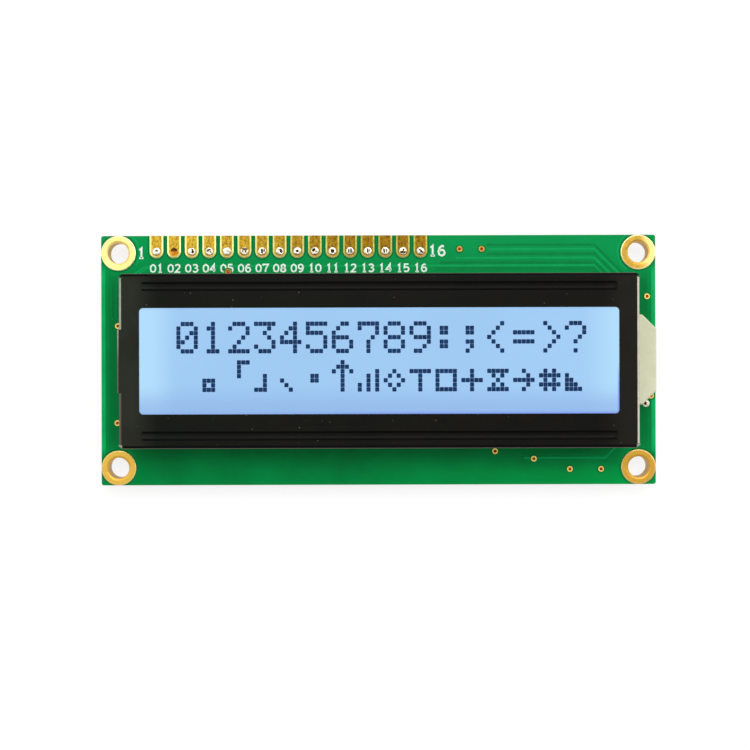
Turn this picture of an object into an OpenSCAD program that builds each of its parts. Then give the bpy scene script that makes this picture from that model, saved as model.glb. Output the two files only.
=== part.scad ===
// Character display module: a printed circuit board carries a liquid crystal cell on two
// conductive rubber strips, an edge-lit backlight behind the cell, and a folded metal bezel
// whose tabs pass through the board and are twisted behind it.
// The back face of the board lies at z = 0, the display looks up along +Z, and the four
// mounting holes are centred on the origin. Lengths are in millimetres.

/* [Circuit board] */
// Length of the board
board_w = 80; // [79:0.5:90]
// Height of the board, across the lines of characters
board_h = 36; // [35.5:0.5:44]
// Thickness of the board
board_t = 1.6; // [0.8:0.1:2.4]
// Radius of the routed board corners
board_corner_r = 0.35; // [0.1:0.05:0.6]
// Thickness of the copper lands and of the plating in the holes
plating_t = 0.05; // [0.03:0.01:0.1]

/* [Mounting holes] */
// Finished diameter of the plated mounting holes
mount_hole_d = 3; // [2:0.1:3.4]
// Diameter of the plated ring round each mounting hole
mount_ring_d = 5; // [4.2:0.1:5.4]
// Distance of the hole centres from the board edges
mount_inset = 2.5; // [2.3:0.1:2.8]

/* [Connector row] */
// Number of connector pads
pin_count = 16; // [8:1:18]
// Distance between neighbouring pads
pin_pitch = 2.54; // [2.3:0.01:2.6]
// Distance of the first pad from the short board edge
first_pin_inset = 8; // [7.5:0.1:9]
// Distance of the pad holes from the long board edge
pin_hole_inset = 2.25; // [1.8:0.05:2.4]
// Width of a pad
pin_pad_w = 1.95; // [1.5:0.05:2]
// Finished diameter of the pad holes
pin_hole_d = 1; // [0.8:0.05:1.1]
// Depth of the solder left in a pad hole
pin_solder_h = 1.2; // [0.6:0.1:1.5]
// Number of the pad whose hole is free of solder
open_pin = 2; // [1:1:8]

/* [Vias] */
// Diameter of the land round a via
via_land_d = 0.95; // [0.7:0.05:1]
// Finished diameter of a via
via_hole_d = 0.35; // [0.2:0.05:0.4]
// Distance of the first via of the upper edge from the last pad
via_lead = 5.65; // [3:0.05:8]
// Distance between the two vias of the upper edge
via_step = 3.2; // [2:0.05:4]
// Distance of the vias of the upper edge from that edge
via_inset = 2; // [1.5:0.1:3]

/* [Bezel] */
// Distance of the bezel from the short edges of the board
bezel_margin = 4.25; // [4:0.05:5]
// Outside height of the bezel
bezel_h = 24.1; // [23.8:0.1:24.4]
// Height of the bezel front above the board
bezel_rise = 7; // [6.4:0.1:10]
// Thickness of the metal sheet
sheet_t = 0.4; // [0.3:0.05:0.5]
// Inside radius of the folds
fold_r = 0.15; // [0.1:0.05:0.3]
// Width of the bezel frame at the ends of the viewing window
frame_end = 2.8; // [2.6:0.05:4.5]
// Width of the bezel frame above and below the viewing window
frame_side = 4.75; // [4.5:0.05:5.5]
// Radius of the window corners
window_r = 0.55; // [0.3:0.05:2]
// Amount by which the middle of the left wall steps outwards
wall_step = 0.25; // [0.1:0.05:0.35]
// Length of the stepped part of the left wall
wall_step_len = 8.7; // [6:0.1:12]

/* [Bezel beads] */
// Width of the pressed stiffening beads
bead_w = 1.2; // [0.8:0.1:1.4]
// Depth of the beads
bead_depth = 0.3; // [0.2:0.05:0.4]
// Distance of each bead from the long edge of the bezel
bead_inset = 1.8; // [1.7:0.1:2.2]
// Distance of the bead ends from the short edges of the bezel
bead_end_inset = 3.05; // [1.8:0.05:6]

/* [Bezel tabs] */
// Number of tabs on each long wall
tab_count = 3; // [2:1:4]
// Distance between neighbouring tabs
tab_pitch = 28; // [16:0.5:30]
// Width of a tab
tab_w = 2; // [1.2:0.1:3]
// Length of a tab behind the board
tab_reach = 1.2; // [0.8:0.1:1.4]
// Angle by which the tabs are twisted
tab_twist = 35; // [10:1:45]
// Clearance round a tab in its slot
slot_clear = 0.15; // [0.1:0.05:0.3]

/* [Display cell] */
// Thickness of each glass plate
glass_t = 1.1; // [0.7:0.1:1.1]
// Distance between the two glass plates
cell_gap = 0.05; // [0.03:0.01:0.1]
// Clearance between the glass edges and the bezel walls
glass_clear = 0.35; // [0.2:0.05:0.6]
// Width of the contact ledge of the front glass beyond the rear glass
glass_ledge = 2.6; // [2.4:0.1:2.8]
// Width of the glued seam between the plates
seal_w = 0.8; // [0.5:0.1:1]
// Distance of the seam from the edges of the rear glass
seal_inset = 0.5; // [0.3:0.1:0.8]
// Length of the glue plug over the filling port of the cell
plug_w = 4; // [2:0.1:8]
// Thickness of the polarizers
polarizer_t = 0.2; // [0.15:0.01:0.25]
// Distance of the polarizer edges from the edges of the rear glass
polarizer_inset = 0.5; // [0.3:0.1:0.9]

/* [Characters] */
// Number of characters in a line
columns = 16; // [8:1:16]
// Distance between neighbouring characters
column_pitch = 3.58; // [3:0.01:3.75]
// Distance between the two lines of characters
line_pitch = 5.35; // [5.2:0.01:5.8]
// Width of a character field
char_w = 2.98; // [2.4:0.01:3]
// Height of a character field, cursor line included
char_h = 5; // [4:0.01:5.1]
// Offset of the characters from the middle of the window
char_shift = [0.2, 0.25];

/* [Rubber contact strips] */
// Distance of the strip ends from the ends of the glass
zebra_end = 1.5; // [1:0.1:4]
// Width of the strips
zebra_w = 2.2; // [1.8:0.1:2.3]
// Number of contacts under each strip
contact_count = 48; // [24:1:50]
// Distance of the first and last contact from the ends of the strip
contact_end = 2.55; // [0.5:0.05:5]
// Width of a contact
contact_w = 0.8; // [0.5:0.05:1]

/* [Backlight] */
// Thickness of the case walls
case_wall = 0.8; // [0.6:0.1:1]
// Thickness of the case floor
case_floor = 0.6; // [0.4:0.1:0.8]
// Clearance between the case and the rubber strips
case_clear = 0.3; // [0.2:0.05:0.5]
// Thickness of the white reflector sheet
reflector_t = 0.1; // [0.08:0.01:0.2]
// Thickness of the diffuser sheet
diffuser_t = 0.2; // [0.1:0.01:0.3]
// Clearance of the loose sheets and the light guide in the case
film_clear = 0.15; // [0.1:0.05:0.3]

/* [Lamp housing] */
// Half the length of the lamp housing at the bezel wall
lug_half = 6.4; // [5.8:0.1:8]
// Height of the lamp housing above the board
lug_h = 2.5; // [2.4:0.1:3]
// Distance of the end of the lamp housing from the board edge
lug_inset = 0.6; // [0.4:0.1:1]
// Size of the slanted corners of the lamp housing
lug_corner = 2; // [1:0.1:2.4]
// Bevel along the top edge of the lamp housing
lug_bevel = 0.2; // [0.1:0.05:0.3]
// Clearance round the lamp housing in the bezel wall
lug_clear = 0.2; // [0.1:0.05:0.4]
// Thickness of the walls of the lamp housing
lug_wall = 0.7; // [0.5:0.05:0.8]
// Number of lamps
lamp_count = 2; // [1:1:2]
// Length of a lamp
lamp_w = 2.8; // [2:0.1:3.2]
// Height of a lamp
lamp_h = 1.1; // [0.8:0.1:1.2]
// Depth of a lamp
lamp_t = 0.8; // [0.6:0.1:1]
// Height of the small board that carries the lamps
lamp_board_h = 1.2; // [1.1:0.1:1.3]
// Thickness of the small board that carries the lamps
lamp_board_t = 0.4; // [0.3:0.1:0.6]
// Side of the square lamp leads
lead_w = 0.45; // [0.3:0.05:0.5]
// Distance between the two lamp leads
lead_pitch = 5.08; // [3:0.01:6]
// Finished diameter of the lead holes
lead_hole_d = 0.8; // [0.75:0.05:1]
// Diameter of the lands round the lead holes
lead_land_d = 1.4; // [1.2:0.05:1.6]
// Length of the leads behind the board
lead_reach = 1; // [0.6:0.1:1.3]
// Distance of the spare solder land from the short board edge
spare_inset = 1.4; // [0.9:0.1:1.8]

/* [Chips on the back] */
// Diameter of the resin domes over the two chips
dome_d = 14; // [11:0.5:15]
// Height of the resin domes
dome_h = 1.7; // [1.6:0.1:2.2]
// Distance of the flat top of a dome below its full round height
dome_flat = 0.2; // [0.1:0.05:0.3]
// Distance between the centres of the two domes
dome_pitch = 34; // [24:0.5:40]
// Side of the square chips
die_w = 3.6; // [2:0.1:4]
// Thickness of the chips
die_t = 0.4; // [0.3:0.05:0.6]
// Distance between neighbouring chip resistors
chip_pitch = 4; // [2:0.1:4.5]
// Clearance between the chip resistors and the tabs
chip_clear = 0.25; // [0.2:0.05:1]
// Length of a chip resistor or capacitor
chip_l = 2; // [1.6:0.1:2.2]
// Width of a chip resistor or capacitor
chip_w = 1.25; // [0.8:0.05:1.4]
// Thickness of a chip resistor
resistor_t = 0.5; // [0.35:0.05:0.6]
// Thickness of a chip capacitor
capacitor_t = 0.8; // [0.5:0.05:1]
// Length of the metal ends of a chip
chip_end = 0.4; // [0.3:0.05:0.5]

/* [Hidden] */
$fn = 48;
// Overshoot of every cutter past the face that it opens
over = 1;

// Places of the mounting holes and of the connector pads
mount_x = board_w / 2 - mount_inset;
mount_y = board_h / 2 - mount_inset;
pin_x = [for (i = [0:pin_count - 1]) -board_w / 2 + first_pin_inset + i * pin_pitch];
pin_y = board_h / 2 - pin_hole_inset;
// The pits in the solder lie to another side from pad to pad
pit_turn = 137;

// Levels of the layers, from the bezel front down to the backlight floor
front_z = board_t + bezel_rise;
face_z = front_z - sheet_t;
bead_clear = 0.02;
glass_z = face_z - bead_depth - bead_clear;
cell_z = glass_z - glass_t;
rear_glass_z = cell_z - cell_gap;
rear_z = rear_glass_z - glass_t;
case_z = rear_z - polarizer_t;
guide_top_z = case_z - diffuser_t;
floor_z = board_t + case_floor;
guide_z = floor_z + reflector_t;
contact_z = board_t + plating_t;

// Bezel and its window, the outer fold radius, and the flat part of the face
bezel_w = board_w - 2 * bezel_margin;
window_w = bezel_w - 2 * frame_end;
window_h = bezel_h - 2 * frame_side;
fold_out = fold_r + sheet_t;
flat_w = bezel_w - 2 * fold_out;
flat_h = bezel_h - 2 * fold_out;
corner_relief = 0.1;
wall_y = bezel_h / 2 - sheet_t / 2;
tab_x = [for (i = [0:tab_count - 1]) (i - (tab_count - 1) / 2) * tab_pitch];
tab_slices = 6;
// A bead is an arc in section, so its radius follows from its width and depth
bead_r = (bead_w * bead_w / 4 + bead_depth * bead_depth) / (2 * bead_depth);
bead_y = bezel_h / 2 - bead_inset;
bead_len = bezel_w - 2 * bead_end_inset;

// Glass plates: the front one reaches over the rubber strips, the rear one lies between them
glass_w = bezel_w - 2 * sheet_t - 2 * glass_clear;
front_glass_h = bezel_h - 2 * sheet_t - 2 * glass_clear;
rear_glass_h = front_glass_h - 2 * glass_ledge;
seal_out = [glass_w - 2 * seal_inset, rear_glass_h - 2 * seal_inset];
seal_in = [seal_out.x - 2 * seal_w, seal_out.y - 2 * seal_w];
polarizer = [glass_w - 2 * polarizer_inset, rear_glass_h - 2 * polarizer_inset];

// Rubber strips stand in the middle of the contact ledges
zebra_y = rear_glass_h / 2 + glass_ledge / 2;
zebra_len = glass_w - 2 * zebra_end;
contact_pitch = (zebra_len - 2 * contact_end - contact_w) / (contact_count - 1);
contact_len = zebra_w + 0.1;

// Backlight case between the strips
case_w = glass_w - 1;
case_h = 2 * (zebra_y - zebra_w / 2 - case_clear);
tray = [case_w - 2 * case_wall, case_h - 2 * case_wall];
lug_x = board_w / 2 - lug_inset;
lug_z = board_t + lug_h;
lug_lift = 0.3;
pocket_half = lug_half - lug_corner - 0.1;
pocket_x = lug_x - lug_wall;
pocket_z = lug_z - 0.5;
lead_x = pocket_x - 0.1 - lead_w / 2;
lamp_board_x = lead_x - lead_w / 2 - lamp_board_t;
lamp_mid_z = (guide_z + pocket_z) / 2;
neck_x = lamp_board_x - lamp_t - 0.15;
lamp_pitch = lamp_w + 0.8;

// Spare land beside the lamp housing, filled with solder
spare_lead = [board_w / 2 - spare_inset, 0.05 - lug_half];
lead_places = [for (s = [-1, 1]) [lead_x, s * lead_pitch / 2]];

// Vias along the upper edge, above and below the bezel, along the lower edge, beside the left
// wall of the bezel and beside the lamp housing
via_y = board_h / 2 - via_inset;
last_pin_x = pin_x[pin_count - 1];
via_places = [
    [last_pin_x + via_lead, via_y],
    [last_pin_x + via_lead + via_step, via_y],
    [-bezel_w / 2 + 14.05, bezel_h / 2 + 0.75],
    [bezel_w / 2 - 18.95, -bezel_h / 2 - 1.15],
    [bezel_w / 2 - 13.35, -bezel_h / 2 - 2.25],
    [board_w / 2 - 12.4, -board_h / 2 + 2.2],
    [board_w / 2 - 7.9, -board_h / 2 + 2.2],
    [-board_w / 2 + 2.4, 5],
    [-board_w / 2 + 2.3, -9],
    [board_w / 2 - 1.2, lug_half + 2.7],
    [board_w / 2 - 0.65, 1.15 - lug_half]
];

// Chips: each dome is a ball cut by the board and by its flat top
dome_r = (dome_d * dome_d / 4 + pow(dome_h + dome_flat, 2)) / (2 * (dome_h + dome_flat));
chip_row_y = wall_y - tab_w / 2 - chip_clear - chip_l / 2;
resistor_count = 9;
// Places and turns of the chip capacitors
capacitor_places = [[0, 4.2, 90], [dome_pitch / 2 + dome_d / 2 + 3, -2, 90]];

// ---- Helpers ----

// A rectangle with round corners, centred on the origin
module round_rect(size, r) {
    square([size.x - 2 * r, size.y], center = true);
    square([size.x, size.y - 2 * r], center = true);
    for (sx = [-1, 1], sy = [-1, 1])
        translate([sx * (size.x / 2 - r), sy * (size.y / 2 - r)]) circle(r);
}

module plate(size, z, t) {
    translate([0, 0, z]) linear_extrude(t) square(size, center = true);
}

// A land on each face of the board, joined by a plated barrel; the child is the land's outline
module plated_hole(hole_d) {
    difference() {
        union() {
            for (z = [-plating_t, board_t]) translate([0, 0, z]) linear_extrude(plating_t) children();
            cylinder(d = hole_d + 2 * plating_t, h = board_t);
        }
        translate([0, 0, -over]) cylinder(d = hole_d, h = board_t + 2 * over);
    }
}

// The hole in the bare board that takes a plated barrel
module drilled(hole_d) {
    translate([0, 0, -over]) cylinder(d = hole_d + 2 * plating_t, h = board_t + 2 * over);
}

module at_mounts() {
    for (sx = [-1, 1], sy = [-1, 1]) translate([sx * mount_x, sy * mount_y, 0]) children();
}

// Solder that nearly fills a hole, with a round pit off its middle; the turn says to which side
module solder_plug(hole_d, turn) {
    top_z = board_t - 0.1;
    difference() {
        translate([0, 0, top_z - pin_solder_h]) cylinder(d = hole_d, h = pin_solder_h);
        rotate(turn) translate([hole_d / 8, 0, top_z]) sphere(d = 0.6 * hole_d);
    }
}

// ---- Circuit board and its metal ----

module circuit_board() {
    color([0, 0.5, 0.24]) difference() {
        linear_extrude(board_t) round_rect([board_w, board_h], board_corner_r);
        at_mounts() drilled(mount_hole_d);
        for (x = pin_x) translate([x, pin_y, 0]) drilled(pin_hole_d);
        for (p = via_places) translate(p) drilled(via_hole_d);
        for (p = concat(lead_places, [spare_lead])) translate(p) drilled(lead_hole_d);
        for (x = tab_x, s = [-1, 1]) translate([x, s * wall_y, board_t / 2])
            cube([tab_w + 2 * slot_clear, sheet_t + 2 * slot_clear, board_t + 2 * over], center = true);
    }
}

// The rings are wider than their inset, so the board's outline trims them
module mount_rings() {
    color([0.9, 0.75, 0.35]) for (sx = [-1, 1], sy = [-1, 1])
        translate([sx * mount_x, sy * mount_y, 0]) plated_hole(mount_hole_d) intersection() {
            circle(d = mount_ring_d);
            translate([-sx * mount_x, -sy * mount_y]) round_rect([board_w, board_h], board_corner_r);
        }
}

// Each pad is a finger from the board edge with a round inner end about its hole
module pin_pads() {
    color([0.86, 0.7, 0.32]) for (x = pin_x)
        translate([x, pin_y, 0]) plated_hole(pin_hole_d) {
            circle(d = pin_pad_w);
            translate([-pin_pad_w / 2, 0]) square([pin_pad_w, pin_hole_inset]);
        }
}

module pin_solder() {
    color([0.88, 0.88, 0.86]) for (i = [0:pin_count - 1])
        if (i != open_pin - 1)
            translate([pin_x[i], pin_y, 0]) solder_plug(pin_hole_d, i * pit_turn);
}

module vias() {
    color([0.9, 0.72, 0.35])
        for (p = via_places) translate(p) plated_hole(via_hole_d) circle(d = via_land_d);
}

module lead_pads() {
    color([0.85, 0.84, 0.8])
        for (p = concat(lead_places, [spare_lead]))
            translate(p) plated_hole(lead_hole_d)
                circle(d = p == spare_lead ? lead_hole_d + 4 * plating_t : lead_land_d);
}

// Solder fills the holes round the square leads and climbs them behind the board
module lead_solder() {
    hole_r = lead_hole_d / 2;
    color([0.8, 0.8, 0.8]) {
        for (p = lead_places) translate(p) difference() {
            rotate_extrude() polygon([
                [0, board_t], [hole_r, board_t], [hole_r, -plating_t],
                [lead_land_d / 2 - 0.1, -plating_t], [lead_w * 0.75, -0.8 * lead_reach],
                [0, -0.8 * lead_reach]
            ]);
            cube([lead_w, lead_w, 4 * board_t], center = true);
        }
        translate(spare_lead) solder_plug(lead_hole_d, 200);
    }
}

module contact_row(side) {
    color([0.9, 0.75, 0.3]) for (i = [0:contact_count - 1])
        translate([(i - (contact_count - 1) / 2) * contact_pitch, side * zebra_y, board_t])
            linear_extrude(plating_t) square([contact_w, contact_len], center = true);
}

module upper_contacts() { contact_row(1); }
module lower_contacts() { contact_row(-1); }

// ---- Bezel ----

// A wall folded down from the face: it runs along X, its outside lies at y = 0 and the
// front of the face at z = 0
module folded_wall(len) {
    rotate([90, 0, 90]) linear_extrude(len, center = true) {
        translate([-fold_out, -fold_out]) intersection() {
            difference() { circle(fold_out); circle(fold_r); }
            square(fold_out);
        }
        translate([-sheet_t, -bezel_rise]) square([sheet_t, bezel_rise - fold_out]);
    }
}

// A long wall reaches round the corners, where its ends are cut at 45 degrees
module long_wall() {
    intersection() {
        folded_wall(bezel_w);
        translate([0, 0, -2 * bezel_rise]) linear_extrude(3 * bezel_rise) polygon([
            [-bezel_w / 2, -2 * fold_out], [bezel_w / 2, -2 * fold_out],
            [bezel_w / 2, -fold_out], [bezel_w / 2 - fold_out, 0],
            [fold_out - bezel_w / 2, 0], [-bezel_w / 2, -fold_out]
        ]);
    }
}

// A tab runs straight through the board and is twisted behind it
module tab() {
    translate([0, 0, -board_t]) linear_extrude(board_t) square([tab_w, sheet_t], center = true);
    translate([0, 0, -board_t]) mirror([0, 0, 1])
        linear_extrude(tab_reach, twist = tab_twist, slices = tab_slices, segments = 4)
            square([tab_w, sheet_t], center = true);
}

// A pressed bead: a pill lying along X, whose lower part dents the face
module bead(r) {
    half = bead_len / 2 - bead_w / 2;
    translate([0, 0, front_z + bead_r - bead_depth]) {
        rotate([0, 90, 0]) cylinder(r = r, h = 2 * half, center = true);
        for (s = [-1, 1]) translate([s * half, 0, 0]) sphere(r);
    }
}

module bezel_blank() {
    translate([0, 0, face_z]) linear_extrude(sheet_t) difference() {
        square([flat_w, flat_h], center = true);
        round_rect([window_w, window_h], window_r);
    }
    // stepped middle of the left side: the face reaches out to its own fold
    translate([-flat_w / 2 - wall_step, -wall_step_len / 2, face_z])
        cube([wall_step, wall_step_len, sheet_t]);
    for (s = [0, 180]) rotate(s) translate([0, bezel_h / 2, front_z]) long_wall();
    short_len = flat_h - 2 * corner_relief;
    side_len = (short_len - wall_step_len) / 2;
    translate([bezel_w / 2, 0, front_z]) rotate(-90) folded_wall(short_len);
    for (s = [-1, 1])
        translate([-bezel_w / 2, s * (short_len - side_len) / 2, front_z])
            rotate(90) folded_wall(side_len);
    translate([-bezel_w / 2 - wall_step, 0, front_z]) rotate(90) folded_wall(wall_step_len);
    for (x = tab_x, s = [-1, 1]) translate([x, s * wall_y, board_t]) tab();
    // ridges of the beads behind the face
    for (s = [-1, 1]) intersection() {
        translate([0, s * bead_y, 0]) bead(bead_r + sheet_t);
        plate([bezel_w, bezel_h], face_z - 2 * bead_depth, 2 * bead_depth + sheet_t / 2);
    }
}

module bezel() {
    color([0.16, 0.16, 0.15]) difference() {
        bezel_blank();
        for (s = [-1, 1]) translate([0, s * bead_y, 0]) bead(bead_r);
        // opening in the right wall for the lamp housing
        translate([bezel_w / 2 - 2 * sheet_t, -lug_half - lug_clear, board_t - over])
            cube([3 * sheet_t, 2 * (lug_half + lug_clear), lug_h + lug_clear + over]);
    }
}

// ---- Display cell ----

module front_polarizer() { color([0.62, 0.8, 0.93]) plate(polarizer, glass_z, polarizer_t); }

module front_glass() { color([0.8, 0.9, 0.92]) plate([glass_w, front_glass_h], cell_z, glass_t); }

module rear_glass() { color([0.8, 0.9, 0.92]) plate([glass_w, rear_glass_h], rear_z, glass_t); }

module rear_polarizer() { color([0.62, 0.78, 0.9]) plate(polarizer, case_z, polarizer_t); }

module cell_seal() {
    color([0.75, 0.75, 0.7]) difference() {
        plate(seal_out, rear_glass_z, cell_gap);
        plate(seal_in, rear_glass_z - over, cell_gap + 2 * over);
    }
}

// A drop of glue closes the filling port at the right end of the cell, and wraps over the edges
// of both plates
module fill_plug() {
    plug_t = 0.7 * glass_clear;
    color([0.85, 0.82, 0.7]) translate([glass_w / 2, 0, rear_glass_z - glass_t / 2])
        linear_extrude(glass_t + cell_gap) round_plug(plug_t);
}

// Half a stadium against the edge of the glass
module round_plug(t) {
    translate([0, t - plug_w / 2]) square([t, plug_w - 2 * t]);
    for (s = [-1, 1]) translate([0, s * (plug_w / 2 - t)]) intersection() {
        circle(t);
        translate([0, -t]) square([t, 2 * t]);
    }
}

// The character fields: two lines, each centred on the window
module char_fields(z, t) {
    for (i = [0:columns - 1], s = [-1, 1])
        translate(char_shift + [(i - (columns - 1) / 2) * column_pitch, s * line_pitch / 2])
            plate([char_w, char_h], z, t);
}

module liquid_crystal() {
    color([0.68, 0.84, 0.97]) difference() {
        plate(seal_in, rear_glass_z, cell_gap);
        char_fields(rear_glass_z - over, cell_gap + 2 * over);
    }
}

module dot_cells() { color([0.2, 0.28, 0.5]) char_fields(rear_glass_z, cell_gap); }

module zebra(side) {
    color([0.85, 0.6, 0.65]) translate([0, side * zebra_y, 0])
        plate([zebra_len, zebra_w], contact_z, cell_z - contact_z);
}

module upper_zebra() { zebra(1); }
module lower_zebra() { zebra(-1); }

// ---- Backlight ----

// The lamp housing seen from the front, drawn in by the inset on every side
module lug_outline(inset) {
    cut = (sqrt(2) - 1) * inset;
    root_x = case_w / 2 - case_wall / 2;
    polygon([
        [root_x, inset - lug_half], [lug_x - lug_corner - cut, inset - lug_half],
        [lug_x - inset, lug_corner - lug_half + cut], [lug_x - inset, lug_half - lug_corner - cut],
        [lug_x - lug_corner - cut, lug_half - inset], [root_x, lug_half - inset]
    ]);
}

module backlight_case() {
    color([0.86, 0.85, 0.73]) difference() {
        union() {
            plate([case_w, case_h], board_t, case_z - board_t);
            hull() {
                translate([0, 0, board_t + lug_lift])
                    linear_extrude(lug_h - lug_lift - lug_bevel) lug_outline(0);
                translate([0, 0, board_t + lug_lift])
                    linear_extrude(lug_h - lug_lift) lug_outline(lug_bevel);
            }
        }
        plate(tray, floor_z, case_z - floor_z + over);
        // channel for the neck of the light guide, and pocket for the lamps, open to the board
        translate([0, -pocket_half, floor_z]) cube([pocket_x, 2 * pocket_half, pocket_z - floor_z]);
        translate([neck_x - 0.5, -pocket_half, board_t - over])
            cube([pocket_x - neck_x + 0.5, 2 * pocket_half, pocket_z - board_t + over]);
    }
}

module reflector() {
    color("white") plate([tray.x - 2 * film_clear, tray.y - 2 * film_clear], floor_z, reflector_t);
}

// The guide fills the tray, and its neck brings in the light of the lamps
module light_guide() {
    color([0.9, 0.95, 1]) {
        plate([tray.x - 2 * film_clear, tray.y - 2 * film_clear], guide_z, guide_top_z - guide_z);
        translate([0, -pocket_half + film_clear, guide_z])
            cube([neck_x, 2 * (pocket_half - film_clear), pocket_z - film_clear - guide_z]);
    }
}

module diffuser() {
    color([0.95, 0.97, 1])
        plate([tray.x - 2 * film_clear, tray.y - 2 * film_clear], guide_top_z, diffuser_t);
}

module lamp_board() {
    color([0.9, 0.9, 0.85])
        translate([lamp_board_x, -pocket_half + film_clear, lamp_mid_z - lamp_board_h / 2])
            cube([lamp_board_t, 2 * (pocket_half - film_clear), lamp_board_h]);
}

// Each lamp looks along -X and has a shallow round-cornered light window
module lamps() {
    color([0.95, 0.93, 0.7]) for (i = [0:lamp_count - 1])
        translate([lamp_board_x - lamp_t, (i - (lamp_count - 1) / 2) * lamp_pitch, lamp_mid_z])
            rotate([90, 0, 90]) difference() {
                linear_extrude(lamp_t) square([lamp_w, lamp_h], center = true);
                translate([0, 0, -over]) linear_extrude(over + 0.15)
                    round_rect([0.8 * lamp_w, 0.7 * lamp_h], 0.2);
            }
}

module lamp_leads() {
    color([0.75, 0.75, 0.75]) for (p = lead_places)
        translate([p.x - lead_w / 2, p.y - lead_w / 2, -lead_reach])
            cube([lead_w, lead_w, lead_reach + lamp_mid_z + lamp_board_h / 3]);
}

// ---- Chips on the back ----

module die(x) {
    color([0.35, 0.37, 0.4]) translate([x, 0, 0]) plate([die_w, die_w], -die_t, die_t);
}

// A resin drop over a chip: round, and flat at its top
module dome(x) {
    color([0.06, 0.06, 0.07]) translate([x, 0, 0]) difference() {
        intersection() {
            translate([0, 0, dome_r - dome_h - dome_flat]) sphere(dome_r, $fn = 180);
            plate([dome_d, dome_d], -dome_h, dome_h);
        }
        plate([die_w, die_w], -die_t, die_t + over);
    }
}

module controller_die() { die(-dome_pitch / 2); }
module driver_die() { die(dome_pitch / 2); }
module controller_dome() { dome(-dome_pitch / 2); }
module driver_dome() { dome(dome_pitch / 2); }

// Chip resistors stand in a row, chip capacitors at their own places
module at_resistors() {
    for (i = [0:resistor_count - 1])
        translate([(i - (resistor_count - 1) / 2) * chip_pitch, -chip_row_y, 0]) rotate(90) children();
}

module at_capacitors() {
    for (p = capacitor_places) translate([p.x, p.y, 0]) rotate(p.z) children();
}

module chip_body(t) {
    translate([0, 0, -plating_t]) mirror([0, 0, 1]) plate([chip_l - 2 * chip_end, chip_w], 0, t);
}

module chip_ends(t) {
    for (s = [-1, 1]) translate([s * (chip_l - chip_end) / 2, 0, -plating_t])
        mirror([0, 0, 1]) plate([chip_end, chip_w], 0, t);
}

module lands() {
    for (s = [-1, 1]) translate([s * (chip_l / 2), 0, -plating_t])
        plate([2 * chip_end + 0.3, chip_w + 0.1], 0, plating_t);
}

module chip_lands() {
    color([0.85, 0.85, 0.82]) { at_resistors() lands(); at_capacitors() lands(); }
}

module resistor_bodies() { color([0.1, 0.1, 0.1]) at_resistors() chip_body(resistor_t); }
module resistor_ends() { color([0.82, 0.82, 0.8]) at_resistors() chip_ends(resistor_t); }
module capacitor_bodies() { color([0.6, 0.5, 0.36]) at_capacitors() chip_body(capacitor_t); }
module capacitor_ends() { color([0.82, 0.82, 0.8]) at_capacitors() chip_ends(capacitor_t); }

circuit_board();
mount_rings();
pin_pads();
pin_solder();
vias();
lead_pads();
lead_solder();
upper_contacts();
lower_contacts();
bezel();
front_polarizer();
front_glass();
cell_seal();
fill_plug();
liquid_crystal();
dot_cells();
rear_glass();
rear_polarizer();
upper_zebra();
lower_zebra();
backlight_case();
reflector();
light_guide();
diffuser();
lamp_board();
lamps();
lamp_leads();
controller_die();
driver_die();
controller_dome();
driver_dome();
chip_lands();
resistor_bodies();
resistor_ends();
capacitor_bodies();
capacitor_ends();
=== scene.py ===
"""Looks, light and camera for the character display module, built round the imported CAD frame.

Blender works in metres in the CAD's own frame: the back face of the board is z = 0 and +Z is the
viewer's side. Sizes below are in millimetres, and so are the coordinates that the materials read,
because every CAD node's object sits at the origin.
"""

import math

import bmesh
import bpy
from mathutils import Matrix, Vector, noise


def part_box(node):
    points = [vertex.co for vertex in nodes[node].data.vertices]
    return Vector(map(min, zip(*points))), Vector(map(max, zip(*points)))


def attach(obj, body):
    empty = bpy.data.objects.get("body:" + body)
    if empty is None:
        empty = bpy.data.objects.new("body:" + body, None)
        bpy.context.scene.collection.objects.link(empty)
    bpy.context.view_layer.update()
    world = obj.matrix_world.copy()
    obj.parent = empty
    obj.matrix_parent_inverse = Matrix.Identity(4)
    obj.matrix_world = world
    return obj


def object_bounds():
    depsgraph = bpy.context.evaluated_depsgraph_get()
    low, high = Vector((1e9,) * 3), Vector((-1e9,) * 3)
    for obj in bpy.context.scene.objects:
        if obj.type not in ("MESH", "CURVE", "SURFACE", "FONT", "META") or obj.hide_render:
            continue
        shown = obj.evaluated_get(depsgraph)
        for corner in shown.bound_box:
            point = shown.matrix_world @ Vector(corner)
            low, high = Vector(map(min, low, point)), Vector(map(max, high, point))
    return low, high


MM = 0.001

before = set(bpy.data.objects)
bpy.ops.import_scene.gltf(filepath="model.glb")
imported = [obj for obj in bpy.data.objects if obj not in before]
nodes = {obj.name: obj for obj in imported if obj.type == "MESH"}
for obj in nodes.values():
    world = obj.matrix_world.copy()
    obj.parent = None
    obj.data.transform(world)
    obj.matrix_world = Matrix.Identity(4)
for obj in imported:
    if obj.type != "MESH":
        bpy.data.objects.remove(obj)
cad_bounds = [list(corner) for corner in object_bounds()]


def box_mm(node):
    """The lowest and highest corner of a CAD node, in millimetres."""
    return tuple(Vector(corner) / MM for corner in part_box(node))


def linear(red, green, blue):
    """A colour on the 0 to 255 display scale as the linear RGBA that nodes take."""
    parts = [value / 255 for value in (red, green, blue)]
    return (*(p / 12.92 if p <= 0.04045 else ((p + 0.055) / 1.055) ** 2.4 for p in parts), 1.0)


# ---- Sizes that the pieces and the materials share ----

bezel_hi = box_mm("bezel")[1]
finger_lo, finger_hi = box_mm("pin_pads")
cells_lo, cells_hi = box_mm("dot_cells")

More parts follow.
